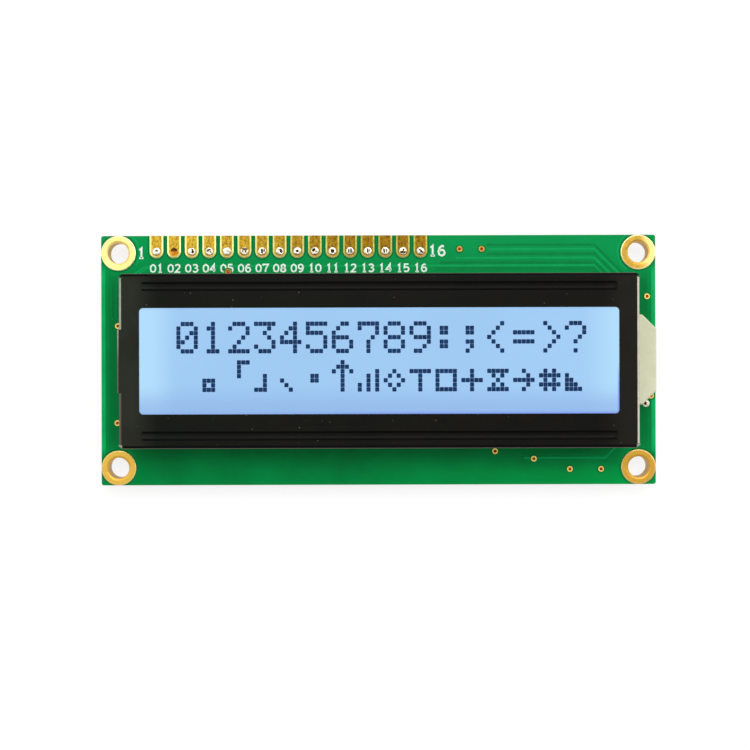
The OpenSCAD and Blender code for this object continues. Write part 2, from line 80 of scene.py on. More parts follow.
BOARD_T = box_mm("circuit_board")[1].z
LAND_Z = finger_hi.z
BACK_LAND_Z = BOARD_T - LAND_Z
PIN_COUNT = 16
PIN_PITCH = 2.54
PIN_X0 = -32.0
PIN_Y = 15.75
FINGER_HALF = (finger_hi.x - finger_lo.x - (PIN_COUNT - 1) * PIN_PITCH) / 2
PIN_HOLE_R = 0.5
OPEN_PIN = 2
MOUNT_X = 37.5
MOUNT_Y = 15.5
MOUNT_RING_R = 2.5
BEZEL_X = 35.75
BEZEL_Y = 12.05
BEZEL_BEND = 0.55
BEND_Z = bezel_hi.z - BEZEL_BEND
WALL_STEP_END = 4.35
BEAD_Y = 10.25
BEAD_END = bezel_hi.x - 3.05
DOME_X = 17.0
DOME_R = 7.0
CHIP_PITCH = 4.0
SPARE_LAND = (38.6, -6.35)
VIAS = (
    (11.75, 16.0), (14.95, 16.0), (-21.7, 12.8), (16.8, -13.2), (22.4, -14.3), (27.6, -15.8),
    (32.1, -15.8), (-37.6, 5.0), (-37.7, -9.0), (38.8, 9.1), (39.35, -5.25),
)

# How far copper under the lacquer stands out, and how thick the white ink is.
GAP_RISE = 0.004
TRACK_RISE = 0.006
BACK_TRACK_RISE = 0.008
INK_T = 0.012


# ---- A short way to write node materials ----


class Surface:
    """A node material that is written from the object's own coordinates in millimetres."""

    def __init__(self, name):
        self.material = bpy.data.materials.new(name)
        self.material.use_nodes = True
        self.tree = self.material.node_tree
        self.tree.nodes.clear()
        self.output = self.add("ShaderNodeOutputMaterial")
        local = self.add("ShaderNodeTexCoord").outputs["Object"]
        scale = self.add("ShaderNodeVectorMath", operation="SCALE")
        self.put(scale.inputs[0], local)
        self.put(scale.inputs["Scale"], 1 / MM)
        self.place = scale.outputs[0]
        split = self.add("ShaderNodeSeparateXYZ")
        self.put(split.inputs[0], self.place)
        self.x, self.y, self.z = split.outputs

    def add(self, kind, **settings):
        node = self.tree.nodes.new(kind)
        for key, value in settings.items():
            setattr(node, key, value)
        return node

    def put(self, socket, value):
        if isinstance(value, bpy.types.NodeSocket):
            self.tree.links.new(value, socket)
        else:
            socket.default_value = value

    def math(self, operation, *values):
        node = self.add("ShaderNodeMath", operation=operation)
        for socket, value in zip(node.inputs, values):
            self.put(socket, value)
        return node.outputs[0]

    def step(self, value, start, end):
        """Rises smoothly from 0 at start to 1 at end; falls where end is the smaller."""
        node = self.add("ShaderNodeMapRange", interpolation_type="SMOOTHSTEP")
        self.put(node.inputs["Value"], value)
        low, high = min(start, end), max(start, end)
        self.put(node.inputs["From Min"], low)
        self.put(node.inputs["From Max"], high)
        self.put(node.inputs["To Min"], 0.0 if start < end else 1.0)
        self.put(node.inputs["To Max"], 1.0 if start < end else 0.0)
        return node.outputs["Result"]

    def band(self, value, low, high, soft):
        """1 between low and high, with soft flanks outside them."""
        rise = self.step(value, low - soft, low)
        fall = self.step(value, high + soft, high)
        return self.math("MULTIPLY", rise, fall)

    def both(self, *masks):
        """1 only where all the masks are 1."""
        whole = masks[0]
        for mask in masks[1:]:
            whole = self.math("MULTIPLY", whole, mask)
        return whole

    def distance(self, x, y, centre_x=0.0, centre_y=0.0):
        """How far x, y lies from a centre."""
        dx = self.math("SUBTRACT", x, centre_x)
        dy = self.math("SUBTRACT", y, centre_y)
        squares = self.math("ADD", self.math("MULTIPLY", dx, dx), self.math("MULTIPLY", dy, dy))
        return self.math("SQRT", squares)

    def scaled(self, *factors):
        node = self.add("ShaderNodeVectorMath", operation="MULTIPLY")
        self.put(node.inputs[0], self.place)
        self.put(node.inputs[1], factors)
        return node.outputs[0]

    def noise(self, per_mm, detail=2.0, roughness=0.5, stretch=None):
        node = self.add("ShaderNodeTexNoise")
        self.put(node.inputs["Vector"], self.scaled(*stretch) if stretch else self.place)
        self.put(node.inputs["Scale"], per_mm)
        self.put(node.inputs["Detail"], detail)
        self.put(node.inputs["Roughness"], roughness)
        return node.outputs["Fac"]

    def cells(self, per_mm, stretch=None):
        node = self.add("ShaderNodeTexVoronoi", feature="F1")
        self.put(node.inputs["Vector"], self.scaled(*stretch) if stretch else self.place)
        self.put(node.inputs["Scale"], per_mm)
        return node.outputs["Distance"]

    def mix(self, factor, first, second):
        node = self.add("ShaderNodeMix", data_type="RGBA", blend_type="MIX")
        self.put(node.inputs["Factor"], factor)
        self.put(node.inputs[6], first)
        self.put(node.inputs[7], second)
        return node.outputs[2]

    def ramp(self, factor, *stops):
        node = self.add("ShaderNodeValToRGB")
        points = node.color_ramp.elements
        while len(points) < len(stops):
            points.new(0.5)
        for point, (where, colour) in zip(points, stops):
            point.position = where
            point.color = colour
        self.put(node.inputs["Fac"], factor)
        return node.outputs["Color"]

    def spread(self, value, low, high):
        """Maps a 0 to 1 value onto low to high."""
        node = self.add("ShaderNodeMapRange")
        self.put(node.inputs["Value"], value)
        self.put(node.inputs["To Min"], low)
        self.put(node.inputs["To Max"], high)
        return node.outputs["Result"]

    def bump(self, height, depth_mm, strength=1.0):
        node = self.add("ShaderNodeBump")
        self.put(node.inputs["Height"], height)
        self.put(node.inputs["Distance"], depth_mm * MM)
        self.put(node.inputs["Strength"], strength)
        return node.outputs["Normal"]

    def shader(self, **values):
        node = self.add("ShaderNodeBsdfPrincipled")
        for name, value in values.items():
            self.put(node.inputs[name.replace("_", " ")], value)
        return node.outputs[0]

    def finish(self, **values):
        self.put(self.output.inputs["Surface"], self.shader(**values))
        return self.material


def dress(material, *names):
    """Gives every slot of the named CAD nodes one material."""
    for name in names:
        slots = nodes[name].material_slots
        if not slots:
            nodes[name].data.materials.append(material)
        for slot in slots:
            slot.material = material


# ---- Materials ----


def finger_inset(s):
    """How far a point lies inside the outline of the nearest finger, and its x from there."""
    shifted = s.math("SUBTRACT", s.x, PIN_X0 - PIN_PITCH / 2)
    local = s.math("SUBTRACT", s.math("MODULO", shifted, PIN_PITCH), PIN_PITCH / 2)
    below = s.math("MINIMUM", s.math("SUBTRACT", s.y, PIN_Y), 0.0)
    return s.math("SUBTRACT", FINGER_HALF, s.distance(local, below)), local


def mask_green(s):
    """The lacquer's colour over the copper pour, with the bare rim along the short edges.

    It is darker over the bare laminate that keeps the pour off the fingers and the rings.
    """
    broad = s.noise(0.16, 3.0, 0.6)
    fine = s.noise(2.2, 4.0, 0.65)
    green = s.ramp(broad, (0.30, linear(0, 118, 54)), (0.70, linear(0, 138, 66)))
    green = s.mix(s.spread(fine, 0.0, 0.2), green, linear(0, 148, 76))
    upper = s.step(s.y, 8.0, 17.0)
    green = s.mix(s.math("MULTIPLY", upper, 0.7), green, linear(0, 154, 80))
    # Painted light: the lacquer is lighter along the lower edge of the board, more towards the
    # right.
    lower = s.both(s.step(s.y, -14.4, -16.6), s.step(s.x, -12.0, 40.0))
    green = s.mix(s.math("MULTIPLY", lower, 0.5), green, linear(0, 160, 70))
    side, up = s.math("ABSOLUTE", s.x), s.math("ABSOLUTE", s.y)
    # Painted shade on the lacquer beside the short ends of the bezel.
    beside = s.both(
        s.band(side, bezel_hi.x, 38.6, 0.5), s.step(up, 13.5, 11.0), s.step(s.z, 0.6, 1.0)
    )
    green = s.mix(s.math("MULTIPLY", beside, 0.55), green, linear(0, 104, 50))
    inset, _ = finger_inset(s)
    row_end = PIN_X0 + (PIN_COUNT - 1) * PIN_PITCH
    row = s.band(s.x, PIN_X0 - PIN_PITCH / 2, row_end + PIN_PITCH / 2, 0.02)
    moat = s.both(s.step(inset, -0.34, -0.2), row)
    ring = s.distance(side, up, MOUNT_X, MOUNT_Y)
    moat = s.math("MAXIMUM", moat, s.step(ring, MOUNT_RING_R + 0.32, MOUNT_RING_R + 0.18))
    green = s.mix(s.math("MULTIPLY", moat, 0.7), green, linear(0, 96, 46))
    rim = s.both(s.step(side, 39.36, 39.46), s.step(up, 14.0, 12.4))
    wavy = s.spread(s.noise(0.35, 1.0), 0.35, 1.0)
    return s.mix(s.math("MULTIPLY", rim, wavy), green, linear(14, 188, 104))


def make_board():
    """Green lacquer on both faces and bare woven laminate round the edge."""
    s = Surface("board_with_green_lacquer")
    green = mask_green(s)
    weave = s.cells(2.4, stretch=(1.0, 1.0, 3.0))
    laminate = s.mix(s.spread(weave, 0.1, 0.7), linear(196, 190, 132), linear(150, 156, 96))
    inside = s.band(s.z, 0.05, BOARD_T - 0.05, 0.02)
    sheen = s.noise(3.0, 3.0)
    return s.finish(
        Base_Color=s.mix(inside, green, laminate),
        Roughness=s.spread(sheen, 0.24, 0.40),
        Specular_IOR_Level=0.05,
        Normal=s.bump(s.noise(1.1, 3.0), 0.01, 0.5),
    )


def make_lacquer_line(name, dark, light):
    """Lacquer where it sinks between two copper areas or rises over a track."""
    s = Surface(name)
    tone = s.noise(0.6, 3.0, 0.6)
    return s.finish(
        Base_Color=s.ramp(tone, (0.32, dark), (0.72, light)),
        Roughness=s.spread(s.noise(3.0, 2.0), 0.26, 0.40),
        Specular_IOR_Level=0.05,
        Normal=s.bump(s.noise(1.1, 3.0), 0.01, 0.5),
    )


def make_print():
    """Chalky white ink, thin in places."""
    s = Surface("white_print_ink")
    grain = s.noise(9.0, 3.0, 0.7)
    return s.finish(
        Base_Color=s.ramp(grain, (0.28, linear(190, 222, 200)), (0.55, linear(238, 250, 240))),
        Roughness=0.62,
        Specular_IOR_Level=0.3,
        Normal=s.bump(grain, 0.006),
    )


def make_ring_gold():
    """The mounting rings: a painted highlight on the outer rim, painted shade on the rounded step to
    the hole, and painted light that makes the upper ones paler than the warmer ones below.
    """
    s = Surface("ring_gold")
    radius = s.distance(
        s.math("ABSOLUTE", s.x), s.math("ABSOLUTE", s.y), MOUNT_X, MOUNT_Y
    )
    # Painted light: the upper rings are paler than the lower ones, and all are paler towards the
    # left.
    rightwards, upwards = s.step(s.x, -20.0, 20.0), s.step(s.y, -6.0, 6.0)
    pale = s.mix(rightwards, linear(228, 221, 136), linear(164, 132, 52))
    # A painted highlight on the upper right-hand ring.
    glare = s.both(s.step(s.x, 37.6, 39.2), s.step(s.y, 12.0, 14.5))
    pale = s.mix(s.math("MULTIPLY", glare, 0.8), pale, linear(242, 218, 138))
    warm = s.mix(rightwards, linear(204, 166, 68), linear(184, 142, 52))
    gold = s.mix(upwards, warm, pale)
    blotch = s.noise(1.3, 4.0, 0.62)
    gold = s.mix(s.math("MULTIPLY", s.step(blotch, 0.45, 0.7), 0.5), gold, linear(214, 158, 60))
    # Painted shade on the rounded step down into the hole.
    inner = s.step(radius, 1.86, 1.58)
    gold = s.mix(s.math("MULTIPLY", inner, 0.65), gold, linear(176, 130, 56))
    # A painted highlight along the outer rim, stronger on the upper rings.
    outer = s.step(radius, MOUNT_RING_R - 0.2, MOUNT_RING_R - 0.08)
    gold = s.mix(s.both(outer, s.spread(upwards, 0.3, 0.8)), gold, linear(252, 240, 184))
    wall = s.band(s.z, 0.05, BOARD_T - 0.02, 0.04)
    gold = s.mix(s.both(wall, s.step(radius, 1.56, 1.52)), gold, linear(186, 150, 88))
    slope = s.math("SUBTRACT", s.step(radius, 1.5, 1.85), s.step(radius, 2.36, MOUNT_RING_R))
    height = s.math("ADD", slope, s.math("MULTIPLY", blotch, 0.25))
    return s.finish(
        Base_Color=gold,
        Metallic=0.95,
        Roughness=s.spread(s.noise(5.0, 4.0), 0.36, 0.52),
        Normal=s.bump(height, 0.07),
    )


def make_finger_gold():
    """Gold fingers: a bevelled rim with a painted highlight round a brushed, mottled middle; painted
    light makes them browner to the right, and painted shade lies below the solder.
    """
    s = Surface("finger_gold")
    inset, local = finger_inset(s)
    middle = s.step(inset, 0.16, 0.27)
    # Painted light: the fingers are paler at the left and browner to the right.
    along = s.step(s.x, PIN_X0 - 4.0, PIN_X0 + (PIN_COUNT - 3) * PIN_PITCH)
    fair = s.mix(along, linear(194, 164, 56), linear(134, 102, 25))
    brown = s.mix(along, linear(146, 110, 30), linear(88, 61, 11))
    brushed = s.noise(1.0, 5.0, 0.75, stretch=(5.5, 1.6, 1.0))
    mottle = s.noise(2.6, 4.0, 0.7)
    grain = s.math("ADD", s.math("MULTIPLY", brushed, 0.6), s.math("MULTIPLY", mottle, 0.4))
    centre = s.mix(s.step(grain, 0.42, 0.58), brown, fair)
    # Painted shade on the finger's lower end, below the solder bead.
    below_bead_shade = s.step(s.y, PIN_Y - 0.2, PIN_Y - 0.7)
    centre = s.mix(s.math("MULTIPLY", below_bead_shade, 0.5), centre, linear(176, 116, 34))
    # A painted highlight on the bevelled rim.
    rim = s.mix(
        along,
        s.mix(s.step(mottle, 0.35, 0.65), linear(240, 244, 178), linear(220, 216, 132)),
        s.mix(s.step(mottle, 0.35, 0.65), linear(172, 170, 86), linear(148, 138, 60)),
    )
    # A painted highlight on the rounded lower end of the rim.
    lower_rim_highlight = s.step(s.y, PIN_Y - 0.3, PIN_Y - 0.9)
    rim = s.mix(s.math("MULTIPLY", lower_rim_highlight, 0.5), rim, linear(236, 232, 150))
    hole = s.distance(local, s.math("SUBTRACT", s.y, PIN_Y))
    wall = s.both(s.step(hole, PIN_HOLE_R + 0.06, PIN_HOLE_R + 0.03), s.step(s.z, 1.5, 1.35))
    gold = s.mix(middle, rim, centre)
    gold = s.mix(wall, gold, linear(150, 70, 22))
    height = s.math("ADD", s.step(inset, 0.0, 0.2), s.math("MULTIPLY", grain, 0.3))
    return s.finish(
        Base_Color=gold,
        Metallic=1.0,
        Roughness=s.spread(grain, 0.30, 0.52),
        Normal=s.bump(height, 0.06),
    )


def make_via_gold():
    """Via lands, browner along the upper edge, with a copper-coloured wall in the hole."""
    s = Surface("via_gold")
    tone = s.noise(2.0, 3.0)
    down = s.step(s.z, BOARD_T - 0.02, BOARD_T - 0.2)
    land = s.mix(s.step(tone, 0.35, 0.65), linear(178, 136, 66), linear(150, 98, 40))
    fair = s.math("MAXIMUM", s.step(s.y, 4.0, -8.0), s.step(s.math("ABSOLUTE", s.x), 28.0, 34.0))
    land = s.mix(s.math("MULTIPLY", fair, 0.8), land, linear(222, 196, 104))
    return s.finish(
        Base_Color=s.mix(down, land, linear(160, 62, 18)),
        Metallic=0.9,
        Roughness=s.spread(tone, 0.3, 0.5),
        Normal=s.bump(tone, 0.02),
    )


def make_solder():
    """Bright solder, dull and brown with flux where it lies deep in a hole, and darkened there by
    painted shade.
    """
    s = Surface("solder")
    tone = s.noise(4.0, 4.0, 0.6)
    bright = s.mix(s.step(tone, 0.36, 0.58), linear(176, 176, 156), linear(240, 241, 230))
    dull = s.step(s.noise(0.45, 1.0), 0.42, 0.6)
    bright = s.mix(s.math("MULTIPLY", dull, 0.5), bright, linear(170, 166, 138))
    bright = s.mix(s.step(s.z, LAND_Z + 0.05, LAND_Z + 0.005), bright, linear(158, 134, 72))
    # Painted shade together with flux: deep in a pit the solder turns dark brown.
    deep = s.both(s.step(s.z, BOARD_T + 0.04, BOARD_T - 0.08), s.step(s.z, 0.0, 0.2))
    shaded_flux = s.mix(s.step(tone, 0.4, 0.6), linear(52, 42, 26), linear(122, 88, 46))
    return s.finish(
        Base_Color=s.mix(deep, bright, shaded_flux),
        Metallic=0.9,
        Roughness=s.spread(tone, 0.22, 0.4),
        Normal=s.bump(tone, 0.03),
    )


def make_flux():
    """Amber flux left in the hole without solder, with painted shade along its upper edge."""
    s = Surface("amber_flux")
    # Painted shade darkens the flux along its upper edge.
    shaded_flux = s.step(s.y, PIN_Y - 0.08, PIN_Y + 0.16)
    tone = s.noise(3.0, 3.0, 0.6)
    amber = s.mix(s.step(tone, 0.35, 0.65), linear(222, 132, 6), linear(180, 90, 4))
    return s.finish(
        Base_Color=s.mix(shaded_flux, amber, linear(92, 50, 6)),
        Roughness=s.spread(tone, 0.16, 0.3),
        Specular_IOR_Level=0.2,
        Normal=s.bump(tone, 0.04),
    )


def make_via_eye():
    """Brown resin that closes a via, with painted shade that is darkest in its hollow middle."""
    s = Surface("via_resin")
    tone = s.noise(6.0, 3.0, 0.6)
    # Painted shade in the hollow middle of the resin.
    hollow = s.step(s.z, LAND_Z + 0.01, LAND_Z - 0.06)
    brown = s.mix(s.step(tone, 0.35, 0.65), linear(178, 78, 6), linear(150, 56, 4))
    return s.finish(
        Base_Color=s.mix(s.math("MULTIPLY", hollow, 0.6), brown, linear(96, 34, 4)),
        Roughness=s.spread(tone, 0.25, 0.4),
        Specular_IOR_Level=0.1,
        Normal=s.bump(tone, 0.02),
    )


def make_tin(name, dark, light, roughness):
    """Bare metal with a fine brushed grain."""
    s = Surface(name)
    brushed = s.noise(2.0, 4.0, 0.6)
    return s.finish(
        Base_Color=s.mix(s.step(brushed, 0.35, 0.65), dark, light),
        Metallic=0.9,
        Roughness=s.spread(brushed, roughness - 0.06, roughness + 0.08),
        Normal=s.bump(brushed, 0.02),
    )


def make_bezel():
    """Black baked paint on steel, with painted reflections, highlights and shade; the folds of the
    two short walls are worn to bare steel and carry painted highlights.
    """
    s = Surface("bezel_black_paint")
    broad = s.noise(0.12, 3.0, 0.6)
    grain = s.noise(7.0, 4.0, 0.7)
    far_x, far_y = s.math("ABSOLUTE", s.x), s.math("ABSOLUTE", s.y)
    # Painted reflection: the front is lighter towards both ends, more at the left, and darkest in
    # the middle.
    paint = s.mix(s.step(s.x, 34.0, -34.0), linear(29, 27, 22), linear(38, 42, 34))
    middle = s.band(far_x, 0.0, 30.0, 4.0)
    paint = s.mix(s.math("MULTIPLY", middle, 0.8), paint, linear(3, 4, 2))
    paint = s.mix(s.math("MULTIPLY", s.step(broad, 0.4, 0.65), 0.35), paint, linear(22, 17, 11))
    paint = s.mix(s.math("MULTIPLY", s.step(grain, 0.56, 0.72), 0.28), paint, linear(60, 60, 54))
    specks = s.step(s.cells(0.85), 0.075, 0.035)
    front = s.step(s.z, bezel_hi.z - 0.2, bezel_hi.z - 0.05)
    specks = s.both(specks, s.step(broad, 0.42, 0.55), front)
    paint = s.mix(s.math("MULTIPLY", specks, 0.8), paint, linear(130, 122, 106))

    # Painted highlights on the folds of the short walls, where the paint is also worn to bare steel;
    # the step of the left one lies further out
    length = s.step(far_y, 11.6, 11.4)
    wear_and_glint_patches = s.spread(s.noise(1.6, 4.0, 0.7), 0.55, 1.1)
    stepped = s.band(s.y, -WALL_STEP_END, WALL_STEP_END, 0.02)
    step_out = 0.36
    wall_x = s.math("ADD", s.x, s.math("MULTIPLY", stepped, step_out))
    fold = s.both(s.step(s.z, BEND_Z - 0.2, BEND_Z), length, wear_and_glint_patches)
    strip_in, strip_out = BEZEL_X - 0.45, BEZEL_X - 0.33
    right = s.both(s.step(s.x, strip_in, strip_out), fold)
    left = s.both(s.step(wall_x, -strip_in, -strip_out), fold)
    # Painted reflection on the left fold, pinkish grey below and pale above.
    left_fold_steel_and_glint = s.ramp(
        s.step(s.y, -11.0, 11.0),
        (0.0, linear(112, 92, 84)),
        (0.5, linear(120, 110, 100)),
        (0.75, linear(190, 196, 178)),
    )
    colour = s.mix(right, paint, linear(216, 207, 190))
    colour = s.mix(s.math("MULTIPLY", left, 0.85), colour, left_fold_steel_and_glint)
    bare = s.math("MAXIMUM", right, left)

    # The long walls: painted shade round the fold, then a painted highlight along the outline; pale
    # spots on the lower corners
    long_fold_shade = s.band(far_y, BEZEL_Y - 0.4, BEZEL_Y - 0.1, 0.08)
    long_fold_shade = s.both(long_fold_shade, s.step(s.z, BEND_Z - 0.15, BEND_Z + 0.05))
    colour = s.mix(long_fold_shade, colour, linear(2, 2, 2))
    # A painted highlight along the outer edge of the long folds, stronger at the bottom.
    outline = s.step(far_y, BEZEL_Y - 0.13, BEZEL_Y - 0.06)
    outline = s.both(outline, s.step(s.z, BEND_Z - 0.07, BEND_Z + 0.01))
    outline = s.math("MULTIPLY", outline, s.spread(s.step(s.y, -6.0, 6.0), 0.85, 0.25))
    colour = s.mix(outline, colour, linear(146, 138, 128))
    corner = s.both(
        s.step(far_x, BEZEL_X - 0.6, BEZEL_X - 0.4),
        s.step(s.y, 0.7 - BEZEL_Y, 0.55 - BEZEL_Y),
        s.step(s.z, BEND_Z - 0.15, BEND_Z),
    )
    colour = s.mix(s.math("MULTIPLY", corner, 0.7), colour, linear(188, 182, 170))
    # Painted shade along both flanks of each bead, up to its rounded end.
    flank = s.band(s.math("ABSOLUTE", s.math("SUBTRACT", far_y, BEAD_Y)), 0.36, 0.6, 0.08)
    bead_end = s.step(far_x, BEAD_END, BEAD_END - 0.3)
    colour = s.mix(s.both(flank, bead_end, 0.85), colour, linear(3, 3, 2))
    bend = s.step(s.z, BEND_Z, BEND_Z + 0.5 * BEZEL_BEND)
    return s.finish(
        Base_Color=colour,
        Metallic=s.math("MULTIPLY", bare, 0.35),
        Roughness=s.spread(grain, 0.38, 0.54),
        Specular_IOR_Level=0.05,
        Normal=s.bump(s.math("ADD", grain, bend), 0.012, 0.6),
    )


def make_crystal():
    """The lit layer: pale blue, cyan at both ends, painted shadow along the top rim, violet along
    the lower and right rims.
    """
    s = Surface("lit_crystal")
    drift = s.noise(0.05, 2.0)
    blue = s.mix(s.step(drift, 0.35, 0.65), linear(160, 203, 243), linear(164, 207, 247))
    ends = s.math("MAXIMUM", s.step(s.x, -27.5, -32.0), s.step(s.x, 27.5, 33.8))
    blue = s.mix(s.math("MULTIPLY", ends, 0.85), blue, linear(183, 226, 255))
    lower_part = s.step(s.y, -3.0, -7.0)
    blue = s.mix(s.math("MULTIPLY", lower_part, 0.7), blue, linear(145, 182, 232))
    # Painted shadow of the window's upper edge on the lit layer.
    top_rim_shadow = s.step(s.y, 6.9, 7.35)
    blue = s.mix(s.math("MULTIPLY", top_rim_shadow, 0.3), blue, linear(150, 192, 236))
    low_rim = s.both(s.step(s.y, -6.9, -7.45), s.spread(s.step(s.x, -22.0, 8.0), 0.3, 1.0))
    right_rim = s.both(s.step(s.x, 33.0, 33.3), s.step(s.y, 0.5, -3.5))
    rim = s.math("MAXIMUM", low_rim, right_rim)
    blue = s.mix(s.math("MULTIPLY", rim, 0.85), blue, linear(124, 152, 244))
    return s.finish(
        Base_Color=(0, 0, 0, 1),
        Emission_Color=blue,
        Emission_Strength=1.0,
        Roughness=0.6,
        Specular_IOR_Level=0.0,
    )


def make_dots():
    """The dark dots, lit a little from behind."""
    s = Surface("dark_dots")
    tone = s.noise(0.9, 2.0)
    ink = s.ramp(tone, (0.35, linear(4, 42, 84)), (0.65, linear(14, 56, 104)))
    return s.finish(
        Base_Color=s.mix(0.6, ink, (0, 0, 0, 1)),
        Emission_Color=ink,
        Emission_Strength=0.6,
        Roughness=0.6,
        Specular_IOR_Level=0.0,
    )


def make_pane(name, node, tint, gloss_ior, roughness, top_open=False):
    """A clear sheet of the cell: tinted and glossy where no other sheet lies against its face."""
    low, high = box_mm(node)
    margin = 0.03
    s = Surface(name)
    free = s.band(s.z, low.z + margin, high.z + (1.0 if top_open else -margin), 0.005)
    clear = s.add("ShaderNodeBsdfTransparent")
    s.put(clear.inputs["Color"], s.mix(free, (1, 1, 1, 1), tint))
    gloss = s.add("ShaderNodeBsdfGlossy")
    s.put(gloss.inputs["Roughness"], s.spread(s.noise(2.0, 2.0), roughness, roughness * 1.4))
    fresnel = s.add("ShaderNodeFresnel")
    s.put(fresnel.inputs["IOR"], gloss_ior)
    outside = s.math("SUBTRACT", 1.0, s.add("ShaderNodeNewGeometry").outputs["Backfacing"])
    blend = s.add("ShaderNodeMixShader")
    s.put(blend.inputs[0], s.both(fresnel.outputs[0], outside, free))
    s.put(blend.inputs[1], clear.outputs[0])
    s.put(blend.inputs[2], gloss.outputs[0])
    s.put(s.output.inputs["Surface"], blend.outputs[0])
    return s.material


def make_moulded(name, base, shade, roughness, specular):
    """Moulded plastic, rubber or ceramic with a slight grain."""
    s = Surface(name)
    grain = s.noise(5.0, 4.0, 0.6)
    broad = s.noise(0.3, 2.0)
    tone = s.math("ADD", s.math("MULTIPLY", grain, 0.5), s.math("MULTIPLY", broad, 0.5))
    return s.finish(
        Base_Color=s.mix(s.step(tone, 0.38, 0.62), base, shade),
        Roughness=s.spread(grain, roughness - 0.05, roughness + 0.08),
        Specular_IOR_Level=specular,
        Normal=s.bump(grain, 0.01),
    )


def make_zebra():
    """Conductive rubber: dark layers between clear ones, seen on the ends and flanks."""
    s = Surface("zebra_rubber")
    layers = s.math("SINE", s.math("MULTIPLY", s.x, 2 * math.pi / 0.35))
    return s.finish(
        Base_Color=s.mix(s.step(layers, -0.3, 0.3), linear(222, 176, 186), linear(52, 46, 50)),
        Roughness=s.spread(s.noise(4.0, 3.0), 0.5, 0.65),
        Subsurface_Weight=0.1,
        Normal=s.bump(s.noise(4.0, 3.0), 0.01),
    )


def make_resin():
    """Dark resin with a faint ripple and a little dust."""
    s = Surface("black_resin")
    ripple = s.noise(0.35, 2.0)
    dust = s.step(s.cells(1.6), 0.06, 0.03)
    return s.finish(
        Base_Color=s.mix(s.math("MULTIPLY", dust, 0.5), linear(18, 18, 20), linear(96, 94, 90)),
        Roughness=s.spread(s.noise(2.5, 3.0), 0.2, 0.32),
        Specular_IOR_Level=0.22,
        Normal=s.bump(ripple, 0.12),
    )


def make_lamp():
    """A white lamp body with its yellow phosphor window towards the light guide."""
    s = Surface("lamp_body")
    window = s.step(s.math("ABSOLUTE", s.math("SUBTRACT", s.z, 3.0)), 0.45, 0.3)
    return s.finish(
        Base_Color=s.mix(window, linear(240, 240, 236), linear(238, 222, 96)),
        Roughness=s.spread(s.noise(5.0, 3.0), 0.3, 0.45),
        Normal=s.bump(s.noise(5.0, 3.0), 0.01),
    )


LACQUER_DARK = make_lacquer_line("lacquer_gap", linear(0, 126, 60), linear(0, 136, 68))
LACQUER_VIA = make_lacquer_line("lacquer_collar", linear(0, 116, 54), linear(0, 132, 62))
LACQUER_LIGHT = make_lacquer_line("lacquer_track", linear(0, 156, 82), linear(10, 166, 92))
PRINT = make_print()
SOLDER = make_solder()
FLUX = make_flux()
VIA_EYE = make_via_eye()
DOTS = make_dots()
FILM_TINT = (0.985, 0.99, 1.0, 1)
GLASS_TINT = (0.93, 1.0, 0.98, 1)


def dress_tin(name, dark, light, roughness, *names):
    dress(make_tin(name, linear(*dark), linear(*light), roughness), *names)


def dress_moulded(name, base, shade, roughness, *names, specular=0.4):
    dress(make_moulded(name, linear(*base), linear(*shade), roughness, specular), *names)


dress(make_board(), "circuit_board")
dress(make_ring_gold(), "mount_rings")
dress(make_finger_gold(), "pin_pads")
dress(make_via_gold(), "vias")
dress(SOLDER, "pin_solder", "lead_solder")
dress_tin("tinned_land", (206, 206, 198), (240, 240, 234), 0.34, "lead_pads", "chip_lands")
dress_tin("contact_gold", (232, 188, 92), (250, 216, 124), 0.34, "upper_contacts", "lower_contacts")
TINNED = ("resistor_ends", "capacitor_ends", "lamp_leads")
dress_tin("tin_plate", (190, 190, 188), (226, 226, 222), 0.34, *TINNED)
dress_tin("silicon_die", (70, 74, 84), (96, 100, 112), 0.2, "controller_die", "driver_die")
dress(make_bezel(), "bezel")
# The stack lies face to face, so each lit layer glows alike: a ray may show any of them.
dress(make_crystal(), "liquid_crystal", "dot_cells", "rear_polarizer")
dress(
    make_pane("polarizer_film", "front_polarizer", FILM_TINT, 1.28, 0.12, top_open=True),
    "front_polarizer",
)
dress(make_pane("front_cell_glass", "front_glass", GLASS_TINT, 1.3, 0.03), "front_glass")
dress(make_pane("rear_cell_glass", "rear_glass", GLASS_TINT, 1.3, 0.03), "rear_glass")
dress_moulded("cell_seam_glue", (198, 200, 186), (180, 184, 166), 0.4, "cell_seal")
dress_moulded("port_glue", (226, 214, 172), (206, 192, 146), 0.25, "fill_plug")
dress(make_zebra(), "upper_zebra", "lower_zebra")
IVORY, IVORY_SHADE = (222, 222, 192), (214, 214, 182)
dress_moulded("ivory_plastic", IVORY, IVORY_SHADE, 0.42, "backlight_case", specular=0.3)
dress_moulded("white_film", (246, 246, 244), (234, 236, 238), 0.5, "reflector", "diffuser")
GUIDE, GUIDE_SHADE = (226, 236, 240), (210, 224, 230)
dress_moulded("light_guide_plastic", GUIDE, GUIDE_SHADE, 0.12, "light_guide", specular=0.5)
dress_moulded("lamp_board_laminate", (232, 230, 214), (214, 212, 190), 0.45, "lamp_board")
dress(make_lamp(), "lamps")
dress(make_resin(), "controller_dome", "driver_dome")
dress_moulded("resistor_black", (26, 26, 28), (40, 40, 42), 0.35, "resistor_bodies")
dress_moulded("capacitor_ceramic", (176, 146, 104), (160, 128, 88), 0.45, "capacitor_bodies")


# ---- Mesh helpers ----


def piece_from(mesh, name, material):
    """A finished bmesh as a piece of the object, with its material, parented to the root body."""
    data = bpy.data.meshes.new(name)
    bmesh.ops.recalc_face_normals(mesh, faces=mesh.faces)
    mesh.to_mesh(data)
    mesh.free()
    data.materials.append(material)
    piece = bpy.data.objects.new(name, data)
    bpy.context.scene.collection.objects.link(piece)
    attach(piece, "root")
    return piece


